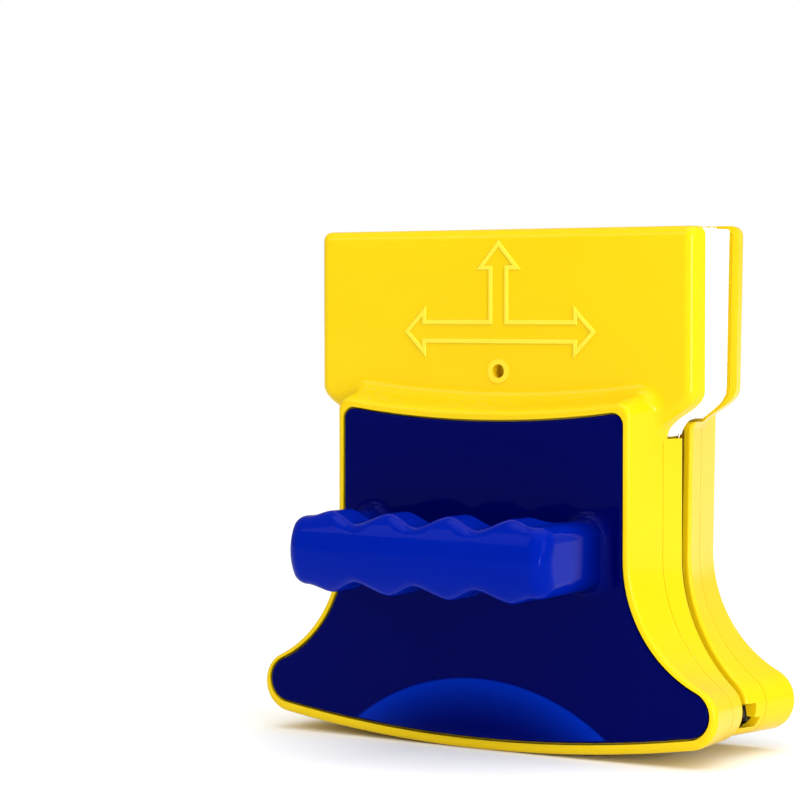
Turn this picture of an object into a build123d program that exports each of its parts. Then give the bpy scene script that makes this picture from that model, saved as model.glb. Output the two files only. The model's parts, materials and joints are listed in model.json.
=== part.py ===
"""Magnetic glass cleaner: two facing halves that clamp a pane between them.

Each half is a triangular wiping body with a wide pad block on top. The front
half carries a bridge handle. Millimetres, +Z up, +X across the object, the
front half towards -Y. q is the distance from the parting plane, outwards.
"""
import os
from math import asin, atan2, cos, degrees, radians, sin, sqrt

from build123d import *

# overall
RIM_Q = 1.0            # glass-side rim of each body
SPLIT_Q = 10.0         # joint line between base plate and shell
FACE_Q = 25.0          # outer face of the lower body
BLOCK_RIM_Q = 8.0      # glass-side rim of the pad block
BLOCK_FACE_Q = 14.0    # outer face of the pad block
HEIGHT = 150.0
FREE = 0.15            # half of the clearance between the halves
WALL = 2.4
LEAN = 1.8             # the rear half leans back by this angle, its pads hold it off

# body outline, on the outer face and at the parting plane
BASE_R = 430.0         # base arc
WAIST_FACE, WAIST_GLASS = 49.2, 53.7
TIP_FACE, TIP_GLASS = 76.7, 72.7
TIP_R = 9.0
BEND_Z = 57.0          # the straight waist ends here
TOP_CORNER_Z, TOP_MID_Z = 101.0, 97.6
TOP_SLOPE = 6.0        # rise of the top ledge from the face to the rim
CORNER_R = 4.0

# pad block
BLOCK_HALF_FACE, BLOCK_HALF_RIM = 63.0, 64.0
SHOULDER_Z = 104.0
SHOULDER_END_Z = 90.5
BLOCK_CORNER_R = 2.6
LEDGE_FRONT_Z, LEDGE_REAR_Z = 90.2, 94.0
TAPE_Q = 7.6           # hook strips lie between here and the block's rim

# cover
COVER_T = 2.6
COVER_GAP = 0.55
COVER_WAIST, COVER_TIP, COVER_TIP_R = 46.85, 73.95, 6.45
COVER_BASE_UP = 3.35
COVER_TOP_CORNER, COVER_TOP_MID, COVER_CORNER_R = 97.95, 94.55, 3.0
DOME_TOP_Z, DOME_RING_R, DOME_SLOPE = 21.0, 69.2, 6.2

# bridge handle
GRIP_Z = 58.0
GRIP_FRONT_Q, GRIP_END_Q, GRIP_BACK_Q = 62.5, 61.0, 43.5
GRIP_END_X, GRIP_ROOT_X, GRIP_INNER_X = 43.5, 41.0, 31.5
CREST, VALLEY, PITCH = 11.6, 8.4, 20.0
GRIP_EDGE_R = 4.4
ELBOW_R = 7.0
CROWN_Q = 52.0         # depth of the front's crown, 15 mm above and below its middle

# wiping side
FLOOR_Q, BACK_Q = 4.0, 6.5
BLADE_IN = 6.0         # blade path inside the outline
NOTCH_Q = 5.4          # the rear tip's notch is this deep, and deeper at its foot
MAGNET_R, MAGNET_T, MAGNET_X, MAGNET_Z = 13.0, 5.0, 20.0, 62.0
CORD_HOLE_R, CORD_HOLE_Z = 2.0, 108.8
ARROW_Z, ARROW_LINE, ARROW_RELIEF = 120.2, 1.4, 0.5

REAR_REACH = 28.1      # how far the leaning rear half goes behind the parting plane
Y_SHIFT = (GRIP_FRONT_Q - REAR_REACH) / 2


def xz(q):
    """Sketch plane at distance q from the parting plane."""
    return Plane.XZ.offset(q)


def slab(q0, q1, z0=-20.0, z1=170.0, x0=-100.0, x1=100.0):
    """Box from q0 to q1 and z0 to z1."""
    return Pos((x0 + x1) / 2, -(q0 + q1) / 2, (z0 + z1) / 2) * Box(x1 - x0, q1 - q0, z1 - z0)


def rod(x, z, r, q0, q1):
    """Cylinder along q."""
    return extrude(xz(q0) * Pos(x, z) * Circle(r), q1 - q0)


def blend(shape, edges, radii):
    """Round the edges with the first radius that the solid takes."""
    for r in radii:
        try:
            done = fillet(edges, r)
            if done.is_valid and done.volume > 0:
                return done
        except Exception:
            continue
    print("left sharp:", len(edges), "edges")
    return shape


def along(t, glass, face):
    """Value at the share t of the way from the rim to the face."""
    return glass + (face - glass) * t


def body_outline(waist, tip, tip_r, base_r, corner_z, mid_z, corner_r):
    """Triangular outline: base arc, round tips, flared sides, straight waist, dished top."""
    cx = tip - tip_r
    cz = BASE_R - sqrt((base_r - tip_r) ** 2 - cx**2)
    a, h = waist - cx, BEND_Z - cz
    flare = (a * a + h * h - tip_r**2) / (2 * (tip_r - a))
    fx = waist + flare
    ang = atan2(BASE_R - cz, -cx)
    p1 = (cx - tip_r * cos(ang), cz - tip_r * sin(ang))
    turn = atan2(BEND_Z - cz, fx - cx)
    p2 = (cx + tip_r * cos(turn), cz + tip_r * sin(turn))
    p3 = (waist, BEND_Z)
    half = turn / 2
    p23 = (fx - flare * cos(half), BEND_Z - flare * sin(half))
    p4 = (waist, corner_z)
    right = (cx + tip_r, cz)

    def m(p):
        return (-p[0], p[1])

    edges = [
        ThreePointArc(m(p1), (0, BASE_R - base_r), p1),
        ThreePointArc(p1, right, p2),
        ThreePointArc(p2, p23, p3),
        Line(p3, p4),
        ThreePointArc(p4, (0, mid_z), m(p4)),
        Line(m(p4), m(p3)),
        ThreePointArc(m(p3), m(p23), m(p2)),
        ThreePointArc(m(p2), m(right), m(p1)),
    ]
    face = make_face(edges)
    return fillet(face.vertices().sort_by(Axis.Y)[-2:], corner_r)


def body_loft(inset, q0, q1):
    """Lower body between q0 and q1, its sides leaning from the glass rim to the face."""
    parts = []
    for q in (q0, q1):
        t = (q - RIM_Q) / (FACE_Q - RIM_Q)
        rise = TOP_SLOPE * (1 - t)
        parts.append(
            xz(q)
            * body_outline(
                along(t, WAIST_GLASS, WAIST_FACE) - inset,
                along(t, TIP_GLASS, TIP_FACE) - inset,
                TIP_R - inset,
                BASE_R - inset,
                TOP_CORNER_Z + rise - inset,
                TOP_MID_Z + rise - inset,
                max(CORNER_R - inset, 1.0),
            )
        )
    return loft(parts, ruled=True)


def block_outline(half, waist, inset):
    """Pad block outline with S-shaped shoulders."""
    w, e = half - inset, waist - inset
    top, low = HEIGHT - inset, SHOULDER_END_Z - 6.0
    r = max(BLOCK_CORNER_R - inset, 0.6)
    d = r * (1 - sqrt(0.5))

    def m(p):
        return (-p[0], p[1])

    a, b, c = (w - r, top), (w - d, top - d), (w, top - r)
    s0, s3 = (w, SHOULDER_Z), (e, SHOULDER_END_Z)
    s1, s2 = (w, SHOULDER_Z - 6.2), (e, SHOULDER_END_Z + 6.2)
    e0 = (e, low)
    return make_face(
        [
            Line(m(a), a),
            ThreePointArc(a, b, c),
            Line(c, s0),
            Bezier(s0, s1, s2, s3),
            Line(s3, e0),
            Line(e0, m(e0)),
            Line(m(e0), m(s3)),
            Bezier(m(s3), m(s2), m(s1), m(s0)),
            Line(m(s0), m(c)),
            ThreePointArc(m(c), m(b), m(a)),
        ]
    )


def block_loft(inset, q0, q1):
    """Pad block between q0 and q1."""
    parts = []
    for q in (q0, q1):
        t = (q - BLOCK_RIM_Q) / (BLOCK_FACE_Q - BLOCK_RIM_Q)
        u = (q - RIM_Q) / (FACE_Q - RIM_Q)
        half = along(t, BLOCK_HALF_RIM, BLOCK_HALF_FACE)
        waist = along(u, WAIST_GLASS, WAIST_FACE) - 0.2
        parts.append(xz(q) * block_outline(half, waist, inset))
    return loft(parts, ruled=True)


def cover_outline(grow):
    """Cover panel outline, made larger all round by grow."""
    return body_outline(
        COVER_WAIST + grow,
        COVER_TIP + grow,
        COVER_TIP_R + grow,
        BASE_R - COVER_BASE_UP + grow,
        COVER_TOP_CORNER + grow,
        COVER_TOP_MID + grow,
        COVER_CORNER_R + grow,
    )


# ---- wiping blades ----
GLASS_CX = TIP_GLASS - TIP_R
GLASS_CZ = BASE_R - sqrt((BASE_R - TIP_R) ** 2 - GLASS_CX**2)
_A, _H = WAIST_GLASS - GLASS_CX, BEND_Z - GLASS_CZ
FLARE_GLASS = (_A * _A + _H * _H - TIP_R**2) / (2 * (TIP_R - _A))
FLARE_X = WAIST_GLASS + FLARE_GLASS
SIDE_END_Z, SIDE_TOP_Z = 22.5, 84.0


def tee(grow=0.0, lip_q=FREE):
    """Blade section as (n, q): a thin lip on a wide foot."""
    return [
        (0.45 + grow, lip_q),
        (1.05 + grow, FLOOR_Q - 0.4),
        (1.05 + grow, 5.1 - grow),
        (2.2 + grow, 5.1 - grow),
        (2.2 + grow, 6.7 + grow),
        (-2.2 - grow, 6.7 + grow),
        (-2.2 - grow, 5.1 - grow),
        (-1.05 - grow, 5.1 - grow),
        (-1.05 - grow, FLOOR_Q - 0.4),
        (-0.45 - grow, lip_q),
    ]


def rect(half, q0, q1):
    """Rectangular section as (n, q)."""
    return [(half, q0), (half, q1), (-half, q1), (-half, q0)]


def base_run(section, x_end):
    """Section swept along the base arc from -x_end to x_end."""
    pts = [(-q, BLADE_IN + n) for n, q in section]
    face = Plane.YZ * make_face(Polyline(*pts, close=True))
    turn = degrees(asin(x_end / (BASE_R - BLADE_IN)))
    axis = Axis((0, 0, BASE_R), (0, 1, 0))
    return revolve(face, axis, 2 * turn).rotate(axis, -turn)


def side_run(section, end_z, top_z):
    """Section swept along the right flare and the straight waist."""
    x = WAIST_GLASS - BLADE_IN
    pts = [(x + n, -q) for n, q in section]
    face = Plane.XY.offset(BEND_Z) * make_face(Polyline(*pts, close=True))
    turn = degrees(asin((BEND_Z - end_z) / (FLARE_GLASS + BLADE_IN)))
    bend = revolve(face, Axis((FLARE_X, 0, BEND_Z), (0, -1, 0)), turn)
    return bend + extrude(face, top_z - BEND_Z, dir=(0, 0, 1))


def left(shape):
    """Mirror image across the middle plane."""
    return mirror(shape, about=Plane.YZ)


def screw(x, z, head_r, head_h, shank_r, length, q, flange=0.0):
    """Cross-recess screw: head before q, shank beyond it."""
    body = rod(x, z, head_r, q - head_h - flange, q - flange)
    body = fillet(body.edges().sort_by(Axis.Y)[-1:], 0.5)
    if flange:
        body += rod(x, z, head_r + 1.6, q - flange, q)
    body += rod(x, z, shank_r, q, q + length)
    top = q - head_h - flange
    for w, h in ((head_r * 1.1, 0.7), (0.7, head_r * 1.1)):
        body -= slab(top - 1, top + 0.9, z - h / 2, z + h / 2, x - w / 2, x + w / 2)
    return body


def polygon(pts):
    """Face with straight sides."""
    return make_face(Polyline(*pts, close=True))


def grown(pts, d):
    """Clockwise polygon with every side moved outwards by d, corners mitred."""
    out, n = [], len(pts)
    for i in range(n):
        (ax, ay), (bx, by), (cx, cy) = pts[i - 1], pts[i], pts[(i + 1) % n]
        la, lb = sqrt((bx - ax) ** 2 + (by - ay) ** 2), sqrt((cx - bx) ** 2 + (cy - by) ** 2)
        n1 = (-(by - ay) / la, (bx - ax) / la)
        n2 = (-(cy - by) / lb, (cx - bx) / lb)
        k = d / (1 + n1[0] * n2[0] + n1[1] * n2[1])
        out.append((bx + k * (n1[0] + n2[0]), by + k * (n1[1] + n2[1])))
    return out


def arrows():
    """Raised outline of a left-right arrow with an up arrow standing on it."""
    z, s, h, n = ARROW_Z, 2.75, 6.0, 6.0
    e, tip = 31.7, HEIGHT - 4.2
    v, vh, vn = 2.7, 6.2, 7.0
    right = [
        (v, z + s),
        (e - n, z + s),
        (e - n, z + h),
        (e, z),
        (e - n, z - h),
        (e - n, z - s),
    ]
    pts = (
        [(0, tip), (vh, tip - vn), (v, tip - vn)]
        + right
        + [(-x, y) for x, y in reversed(right)]
        + [(-v, tip - vn), (-vh, tip - vn)]
    )
    line = ARROW_LINE / 2
    ring = polygon(grown(pts, line)) - polygon(grown(pts, -line))
    relief = extrude(xz(BLOCK_FACE_Q - 0.2) * ring, ARROW_RELIEF + 0.2)
    crown = BLOCK_FACE_Q + ARROW_RELIEF
    return blend(relief, relief.edges().filter_by_position(Axis.Y, -crown - 0.01, -crown + 0.01), (0.35, 0.25))


COVER_SCREWS = [(-38, 89.5), (38, 89.5), (-42, 33), (42, 33)]
BASE_SCREWS = [(-36, 78.5), (36, 78.5), (-43, 21), (43, 21)]


def make_shell(ledge_z):
    """Outer housing of one half."""
    body = body_loft(0, RIM_Q, FACE_Q)
    body = blend(body, body.edges().filter_by_position(Axis.Y, -FACE_Q - 0.01, -FACE_Q + 0.01), (1.6, 1.3, 1.0, 0.7))
    block = block_loft(0, BLOCK_RIM_Q, BLOCK_FACE_Q)
    front = block.edges().filter_by_position(Axis.Y, -BLOCK_FACE_Q - 0.01, -BLOCK_FACE_Q + 0.01)
    block = blend(block, front.filter_by(lambda e: e.center().Z > SHOULDER_END_Z), (3.2, 2.6, 2.0))
    shell = (body & slab(SPLIT_Q, FACE_Q + 5)) + block
    shell -= slab(-5, SPLIT_Q, -20, ledge_z)
    step = shell.edges().filter_by(
        lambda e: abs(e.center().Y + BLOCK_FACE_Q) < 0.6
        and TOP_MID_Z + 1 < e.center().Z < SHOULDER_Z + 4
        and abs(e.center().X) < WAIST_FACE - 4
    )
    if step:
        shell = blend(shell, step, (4.5, 3.5, 2.8, 2.2, 1.5, 1.0))
    cavity = body_loft(WALL, RIM_Q, FACE_Q) & slab(SPLIT_Q - 1, FACE_Q - COVER_T - 2.4)
    cavity += block_loft(2.2, BLOCK_RIM_Q - 1, BLOCK_FACE_Q) & slab(BLOCK_RIM_Q - 2, BLOCK_FACE_Q - 2)
    shell -= cavity
    shell -= extrude(xz(FACE_Q - COVER_T) * cover_outline(COVER_GAP), 10)
    for x, z in COVER_SCREWS:
        shell -= rod(x, z, 3.2, FACE_Q - COVER_T - 4, FACE_Q)
    for x, z in BASE_SCREWS:
        shell += rod(x, z, 3.6, SPLIT_Q, FACE_Q - COVER_T - 2.3)
        shell -= rod(x, z, 1.35, SPLIT_Q - 1, SPLIT_Q + 9)
    seam = slab(SPLIT_Q - 1, SPLIT_Q + 0.3, -20, ledge_z - 0.5) - body_loft(0.35, RIM_Q, FACE_Q)
    shell -= seam
    shell += arrows()
    shell += rod(0, CORD_HOLE_Z, 4.4, SPLIT_Q, BLOCK_FACE_Q - 1)
    ring = rod(0, CORD_HOLE_Z, 3.6, BLOCK_FACE_Q - 0.5, BLOCK_FACE_Q + 0.3)
    shell += ring
    shell -= rod(0, CORD_HOLE_Z, CORD_HOLE_R, SPLIT_Q - 1, BLOCK_FACE_Q + 2)
    return shell


def make_panel():
    """Flat cover panel with its screw bosses."""
    panel = extrude(xz(FACE_Q - COVER_T) * cover_outline(0), COVER_T)
    panel = blend(panel, panel.edges().filter_by_position(Axis.Y, -FACE_Q - 0.01, -FACE_Q + 0.01), (0.7, 0.5))
    for x, z in COVER_SCREWS:
        panel += rod(x, z, 3.0, FACE_Q - COVER_T - 2.4, FACE_Q - COVER_T + 0.5)
        panel -= rod(x, z, 1.35, FACE_Q - COVER_T - 3, FACE_Q - 0.9)
    return panel


def make_dome():
    """Low dome that swells from the lower middle of the front panel."""
    slope = radians(DOME_SLOPE)
    ball = DOME_RING_R / sin(slope)
    centre = Pos(0, -FACE_Q + ball * cos(slope), DOME_TOP_Z - DOME_RING_R)
    cap = centre * Sphere(ball)
    prism = extrude(xz(FACE_Q - 0.6) * cover_outline(-0.7), 6)
    return cap & prism & slab(FACE_Q - 0.6, FACE_Q + 6, -5, DOME_TOP_Z + 0.5)


def grip_outline():
    """Front view of the handle: a wave of finger grooves on both edges."""
    right = [(0, VALLEY), (PITCH / 2, CREST), (PITCH, VALLEY), (1.5 * PITCH, CREST), (36.5, 9.9), (43.0, 10.5), (48, 10.5)]
    top = [(-x, GRIP_Z + h) for x, h in reversed(right[1:])] + [(x, GRIP_Z + h) for x, h in right]
    low = [(x, 2 * GRIP_Z - z) for x, z in reversed(top)]
    return make_face([Spline(*top), Line(top[-1], low[0]), Spline(*low), Line(low[-1], top[0])])


def make_grip():
    """Solid bridge handle."""
    outer = [(-GRIP_ROOT_X, FACE_Q - 1.5), (-GRIP_END_X, GRIP_FRONT_Q + 1)]
    inner = [(GRIP_INNER_X, FACE_Q - 1.5), (GRIP_INNER_X, GRIP_BACK_Q), (-GRIP_INNER_X, GRIP_BACK_Q), (-GRIP_INNER_X, FACE_Q - 1.5)]
    edges = [
        Line(outer[0], outer[1]),
        Line(outer[1], (GRIP_END_X, GRIP_FRONT_Q + 1)),
        Line((GRIP_END_X, GRIP_FRONT_Q + 1), (GRIP_ROOT_X, FACE_Q - 1.5)),
        Line((GRIP_ROOT_X, FACE_Q - 1.5), inner[0]),
        Line(inner[0], inner[1]),
        Line(inner[1], inner[2]),
        Line(inner[2], inner[3]),
        Line(inner[3], outer[0]),
    ]
    plan = make_face(edges)
    plan = fillet(plan.vertices().filter_by(lambda p: abs(p.Y - GRIP_BACK_Q) < 0.1 and abs(abs(p.X) - GRIP_INNER_X) < 0.1), 5.0)
    # the plan is drawn as (x, q); flip it so that q runs towards -Y
    low = mirror(plan, about=Plane.XZ)
    tall = extrude(Plane.XY.offset(GRIP_Z - 20) * low, 40)
    wave = extrude(xz(FACE_Q - 1.5) * grip_outline(), 45)
    barrel = make_face(
        [
            Line((-FACE_Q + 3, GRIP_Z - 15), (-FACE_Q + 3, GRIP_Z + 15)),
            Line((-FACE_Q + 3, GRIP_Z + 15), (-CROWN_Q, GRIP_Z + 15)),
            ThreePointArc((-CROWN_Q, GRIP_Z + 15), (-GRIP_FRONT_Q, GRIP_Z), (-CROWN_Q, GRIP_Z - 15)),
            Line((-CROWN_Q, GRIP_Z - 15), (-FACE_Q + 3, GRIP_Z - 15)),
        ]
    )
    bow = (GRIP_END_X**2 + (GRIP_FRONT_Q - GRIP_END_Q) ** 2) / (2 * (GRIP_FRONT_Q - GRIP_END_Q))
    axis = Axis((0, bow - GRIP_FRONT_Q, 0), (0, 0, 1))
    crown = revolve(Plane.YZ * barrel, axis, 10).rotate(axis, -5)
    bar = tall & wave & crown
    elbows = bar.edges().filter_by(
        lambda e: abs(e.center().X) > GRIP_END_X - 2
        and e.center().Y < -GRIP_END_Q + 6
        and abs(e.center().Z - GRIP_Z) < 1
    )
    bar = blend(bar, elbows, (ELBOW_R, 6.5, 5.5, 4.5))
    rims = bar.edges().filter_by(lambda e: e.center().Y < -FACE_Q + 1.0 and abs(e.center().Z - GRIP_Z) > 3)
    return blend(bar, rims, (GRIP_EDGE_R, 4.0, 3.4, 2.8, 2.0))


def make_front_cover():
    """Panel, dome and hollow handle in one moulding."""
    cover = make_panel() + make_dome() + make_grip()
    roots = cover.edges().filter_by(
        lambda e: abs(e.center().Y + FACE_Q) < 0.05
        and abs(e.center().Z - GRIP_Z) < 14
        and abs(e.center().X) < GRIP_ROOT_X + 3
    )
    cover = blend(cover, roots, (3.2, 2.8, 2.4, 2.0, 1.5))
    seat = extrude(xz(GRIP_BACK_Q - 1) * Pos(0, GRIP_Z) * SlotOverall(54, 8.4), 4.0)
    hollow = extrude(xz(GRIP_BACK_Q) * Pos(0, GRIP_Z) * SlotOverall(52, 6.8), 15.5)
    cover -= seat + hollow
    for x in (-12, 12):
        cover += rod(x, GRIP_Z, 3.2, GRIP_BACK_Q + 3.0, GRIP_FRONT_Q - 2.5)
        cover -= rod(x, GRIP_Z, 1.1, GRIP_BACK_Q, GRIP_BACK_Q + 10)
    return cover


def make_grip_back():
    """Strip that closes the handle's hollow on the side of the fingers."""
    strip = extrude(xz(GRIP_BACK_Q) * Pos(0, GRIP_Z) * SlotOverall(53.8, 8.2), 3.0)
    strip = blend(strip, strip.edges().filter_by_position(Axis.Y, -GRIP_BACK_Q - 0.01, -GRIP_BACK_Q + 0.01), (0.5, 0.3))
    for x in (-12, 12):
        strip -= rod(x, GRIP_Z, 1.2, GRIP_BACK_Q - 1, GRIP_BACK_Q + 4)
        strip -= rod(x, GRIP_Z, 2.2, GRIP_BACK_Q - 1, GRIP_BACK_Q + 1.4)
    return strip


def make_base(ledge_z, notched, blade_x):
    """Wiping plate: rim, recessed floor, blade slots, magnet pockets."""
    body = body_loft(0, RIM_Q, FACE_Q) + block_loft(0, RIM_Q, BLOCK_FACE_Q)
    base = body & slab(RIM_Q, SPLIT_Q, -5, ledge_z)
    rim = base.edges().filter_by_position(Axis.Y, -RIM_Q - 0.01, -RIM_Q + 0.01)
    base = blend(base, rim, (0.9, 0.6, 0.4))
    inner = body_loft(WALL, RIM_Q - 1, FACE_Q)
    base -= inner & slab(RIM_Q - 2, FLOOR_Q, -5, ledge_z - WALL)
    base -= inner & slab(BACK_Q, SPLIT_Q + 1, -5, ledge_z - WALL)
    plate = block_loft(2.3, RIM_Q, BLOCK_FACE_Q) & slab(BLOCK_RIM_Q, SPLIT_Q, ledge_z - 2, 160)
    base += plate
    keep = body_loft(WALL - 0.6, RIM_Q - 1, FACE_Q)
    bands = base_run(rect(4.0, BACK_Q - 0.5, 8.4), min(blade_x, 63.0) + 2)
    side = side_run(rect(4.0, BACK_Q - 0.5, 8.4), SIDE_END_Z - 1.5, SIDE_TOP_Z + 1.5)
    bands += side + left(side)
    base += bands & keep
    for x in (-MAGNET_X, MAGNET_X):
        base += rod(x, MAGNET_Z, MAGNET_R + 2.2, BACK_Q - 0.5, FLOOR_Q + MAGNET_T)
    for x in (-MAGNET_X, MAGNET_X):
        base -= rod(x, MAGNET_Z, MAGNET_R + 0.15, FLOOR_Q - 1, FLOOR_Q + MAGNET_T + 1)
    for x, z in BASE_SCREWS:
        base += rod(x, z, 4.2, FLOOR_Q, SPLIT_Q)
        base -= rod(x, z, 3.0, FLOOR_Q - 1, FLOOR_Q + 2.0)
        base -= rod(x, z, 1.6, FLOOR_Q, SPLIT_Q + 1)
    for x in (-MAGNET_X, MAGNET_X):
        base -= rod(x, MAGNET_Z + 19.5, 1.35, FLOOR_Q - 1, BACK_Q + 1)
        base -= rod(x, MAGNET_Z - 19.5, 1.35, FLOOR_Q - 1, BACK_Q + 1)
    slots = base_run(tee(0.1, 0.0), blade_x + 0.3)
    side = side_run(tee(0.1, 0.0), SIDE_END_Z - 0.2, SIDE_TOP_Z + 0.2)
    base -= slots + side + left(side)
    if notched:
        for s in (-1, 1):
            side = sorted((s * 64.5, s * 90))
            base -= slab(-2, NOTCH_Q, 8.0, 15.0, *side) + slab(-2, BLOCK_RIM_Q, 8.0, 11.0, *side)
    return base


def make_magnet_cover():
    """Plate over both magnets, flush with the rim."""
    plate = extrude(xz(FLOOR_Q - 1.8) * Pos(0, MAGNET_Z) * RectangleRounded(74, 47, 9), 1.8)
    plate = blend(plate, plate.edges().filter_by_position(Axis.Y, -FLOOR_Q + 1.79, -FLOOR_Q + 1.81), (0.6, 0.4))
    for x in (-MAGNET_X, MAGNET_X):
        for dz in (-19.5, 19.5):
            plate -= rod(x, MAGNET_Z + dz, 1.5, 0, FLOOR_Q + 1)
            plate -= rod(x, MAGNET_Z + dz, 2.7, 0, FLOOR_Q - 0.7)
    return plate


def make_yoke():
    """Steel plate that joins both magnets at the back."""
    plate = extrude(xz(FLOOR_Q + MAGNET_T) * Pos(0, MAGNET_Z) * RectangleRounded(70, 24, 4), 1.5)
    return plate


def make_pad(ledge_z, q0, q1, inset):
    """Slice of the pad that fills its half of the gap behind the pad block."""
    t = [xz(q) * block_outline(BLOCK_HALF_RIM - 0.6, WAIST_GLASS - 0.4, inset) for q in (q0, q1)]
    return loft(t, ruled=True) & slab(q0 - 1, q1 + 1, ledge_z + 0.35, 160)


def make_half(ledge_z, notched, blade_x):
    """All parts that both halves share, in the front half's place."""
    parts = {
        "shell": make_shell(ledge_z),
        "base_plate": make_base(ledge_z, notched, blade_x),
        "magnet_cover": make_magnet_cover(),
        "yoke_plate": make_yoke(),
        "blade_bottom": base_run(tee(), blade_x),
    }
    side = side_run(tee(), SIDE_END_Z, SIDE_TOP_Z)
    parts["blade_right"], parts["blade_left"] = side, left(side)
    parts["magnets"] = Compound(
        [rod(x, MAGNET_Z, MAGNET_R, FLOOR_Q, FLOOR_Q + MAGNET_T).solid() for x in (-MAGNET_X, MAGNET_X)]
    )
    parts["base_screws"] = Compound(
        [screw(x, z, 2.7, 1.7, 1.3, 11.0, FLOOR_Q + 2.0).solid() for x, z in BASE_SCREWS]
        + [screw(x, MAGNET_Z + dz, 2.4, 1.2, 1.25, 3.6, FLOOR_Q - 0.7).solid() for x in (-MAGNET_X, MAGNET_X) for dz in (-19.5, 19.5)]
    )
    parts["cover_screws"] = Compound(
        [screw(x, z, 2.7, 1.6, 1.3, 3.9, FACE_Q - COVER_T - 2.4, 1.0).solid() for x, z in COVER_SCREWS]
    )
    tapes = [
        extrude(xz(TAPE_Q) * Pos(x, 124) * RectangleRounded(34, 40, 3), BLOCK_RIM_Q - TAPE_Q)
        for x in (-38, 0, 38)
    ]
    parts["hook_strips"] = Compound([t.solid() for t in tapes])
    parts["pad_core"] = make_pad(ledge_z, 2.6, TAPE_Q - 0.2, 0.3)
    parts["pad_face"] = blend_pad(make_pad(ledge_z, FREE, 2.6, 0.0))
    return parts


def blend_pad(pad):
    """Soften the glass-side rim of the wiping cloth."""
    rim = pad.edges().filter_by_position(Axis.Y, -FREE - 0.01, -FREE + 0.01)
    return blend(pad, rim, (1.0, 0.7, 0.4))


def lean(shape):
    """Turn a part of the rear half, in its place behind the plane, back about its foot."""
    return Pos(0, 0, FACE_Q * sin(radians(LEAN))) * Rot(-LEAN, 0, 0) * shape


def rear_pad(ledge_z):
    """Core and face of the rear pad: upright at the glass, leaning at the back."""
    foot = ledge_z + FACE_Q * sin(radians(LEAN)) + 0.1
    outline = BLOCK_HALF_RIM - 2.0, WAIST_GLASS - 1.8
    above = slab(0, 20, foot + 0.35, 160)
    prism = extrude(xz(2.6) * block_outline(*outline, 0.3), 14) & above
    space = lean(Rot(0, 0, 180) * slab(-12, TAPE_Q - 0.2))
    core = Rot(0, 0, 180) * prism & space
    sheet = extrude(xz(FREE) * block_outline(*outline, 0.0), 2.6 - FREE) & above
    face = Rot(0, 0, 180) * blend_pad(sheet)
    return core, face


def save(name, shape):
    """Put the part in its final place and write it."""
    done = Pos(0, Y_SHIFT, 0) * shape
    bb = done.bounding_box()
    print(f"{name:22s} solids {len(done.solids())} valid {done.is_valid} vol {done.volume:9.1f} "
          f"y {bb.min.Y:7.2f} {bb.max.Y:7.2f} z {bb.min.Z:7.2f} {bb.max.Z:7.2f}")
    export_step(done, f"parts/{name}.step")


def main():
    """Build and write every part."""
    os.makedirs("parts", exist_ok=True)
    front = make_half(LEDGE_FRONT_Z, False, 62.0)
    front["cover"] = make_front_cover()
    front["grip_back"] = make_grip_back()
    front["grip_screws"] = Compound(
        [screw(x, GRIP_Z, 2.0, 1.2, 1.0, 8.0, GRIP_BACK_Q + 1.4).solid() for x in (-12, 12)]
    )
    for name, shape in front.items():
        save(f"front_{name}", shape)
    rear = make_half(LEDGE_REAR_Z, True, 70.0)
    rear["cover"] = make_panel()
    rear = {name: lean(Rot(0, 0, 180) * shape) for name, shape in rear.items()}
    rear["pad_core"], rear["pad_face"] = rear_pad(LEDGE_REAR_Z)
    for name, shape in rear.items():
        save(f"rear_{name}", shape)


main()
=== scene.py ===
"""Magnetic glass cleaner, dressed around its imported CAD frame.

Two yellow housings face each other with white pads between them; the front
one carries a blue cover with a bridge handle. Everything is in metres, +Z up,
the handle towards -Y, the parting plane at the middle of the two pads.
"""

from __future__ import annotations

import json
import logging
import math
from dataclasses import dataclass, field
from enum import Enum

import bmesh
import bpy
from mathutils import Matrix, Vector, noise

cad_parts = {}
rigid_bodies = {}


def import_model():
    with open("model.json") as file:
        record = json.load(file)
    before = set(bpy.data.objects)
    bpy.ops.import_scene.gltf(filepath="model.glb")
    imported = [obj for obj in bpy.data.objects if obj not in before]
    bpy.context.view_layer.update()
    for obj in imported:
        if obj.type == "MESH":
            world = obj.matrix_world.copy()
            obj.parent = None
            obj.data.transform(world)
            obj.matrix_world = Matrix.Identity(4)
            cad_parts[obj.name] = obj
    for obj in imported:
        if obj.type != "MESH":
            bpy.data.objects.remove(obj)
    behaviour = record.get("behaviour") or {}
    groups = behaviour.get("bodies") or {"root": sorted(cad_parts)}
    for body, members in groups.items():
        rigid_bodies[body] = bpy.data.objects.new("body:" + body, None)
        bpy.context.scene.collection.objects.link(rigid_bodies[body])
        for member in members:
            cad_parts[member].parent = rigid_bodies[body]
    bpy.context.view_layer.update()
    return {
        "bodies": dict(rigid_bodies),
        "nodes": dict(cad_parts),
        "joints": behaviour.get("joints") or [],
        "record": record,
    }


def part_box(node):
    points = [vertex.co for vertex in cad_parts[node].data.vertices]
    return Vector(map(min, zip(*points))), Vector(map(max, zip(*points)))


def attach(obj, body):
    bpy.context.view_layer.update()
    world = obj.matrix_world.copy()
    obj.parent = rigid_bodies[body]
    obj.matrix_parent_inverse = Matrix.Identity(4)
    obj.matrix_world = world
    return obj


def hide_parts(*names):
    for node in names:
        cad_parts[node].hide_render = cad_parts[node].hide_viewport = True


log = logging.getLogger("glass_cleaner")
Colour = tuple[float, float, float]
Triple = tuple[float, float, float]
Pair = tuple[float, float]
Socket = bpy.types.NodeSocket
Node = bpy.types.Node
Tree = bpy.types.NodeTree
MeshWork = bmesh.types.BMesh

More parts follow.
